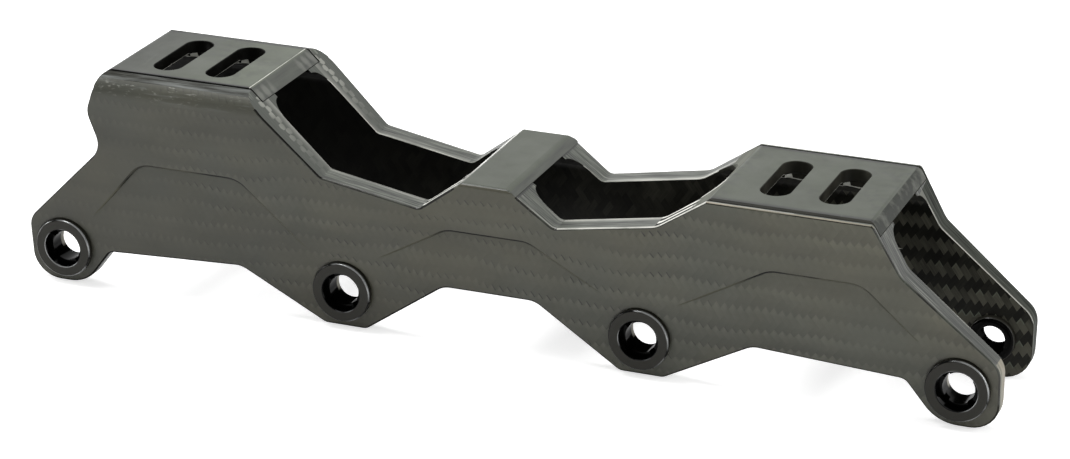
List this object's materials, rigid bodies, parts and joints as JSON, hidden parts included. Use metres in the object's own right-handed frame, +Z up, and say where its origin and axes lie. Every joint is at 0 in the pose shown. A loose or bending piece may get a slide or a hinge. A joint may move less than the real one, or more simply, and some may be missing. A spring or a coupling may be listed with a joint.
{
  "type": "inline skate frame",
  "caption": "Bare carbon frame for an inline skate: two side walls joined by slotted boot decks and a bridge, with flanged axle bushes for a straight line of wheels.",
  "frame": {"origin": "under the middle of the wheel line, on the plane that the eight axle bosses stand on", "axes": "+X to the toe, +Y to the left side, +Z up to the boot"},
  "size_m": [0.2634, 0.0444, 0.0613],
  "materials": {
    "laminate": "satin-lacquered twill carbon laminate, dark olive grey",
    "plate": "smooth sanded carbon plate, mid grey",
    "bush": "black anodised, satin with bright chamfers"
  },
  "bodies": {
    "root": {"right_wall": "laminate", "left_wall": "laminate", "rear_deck": "plate", "front_deck": "plate", "bridge": "plate", "plain_bush_1": "bush", "plain_bush_2": "bush", "plain_bush_3": "bush", "plain_bush_4": "bush", "thread_bush_1": "bush", "thread_bush_2": "bush", "thread_bush_3": "bush", "thread_bush_4": "bush"}
  },
  "joints": []
}
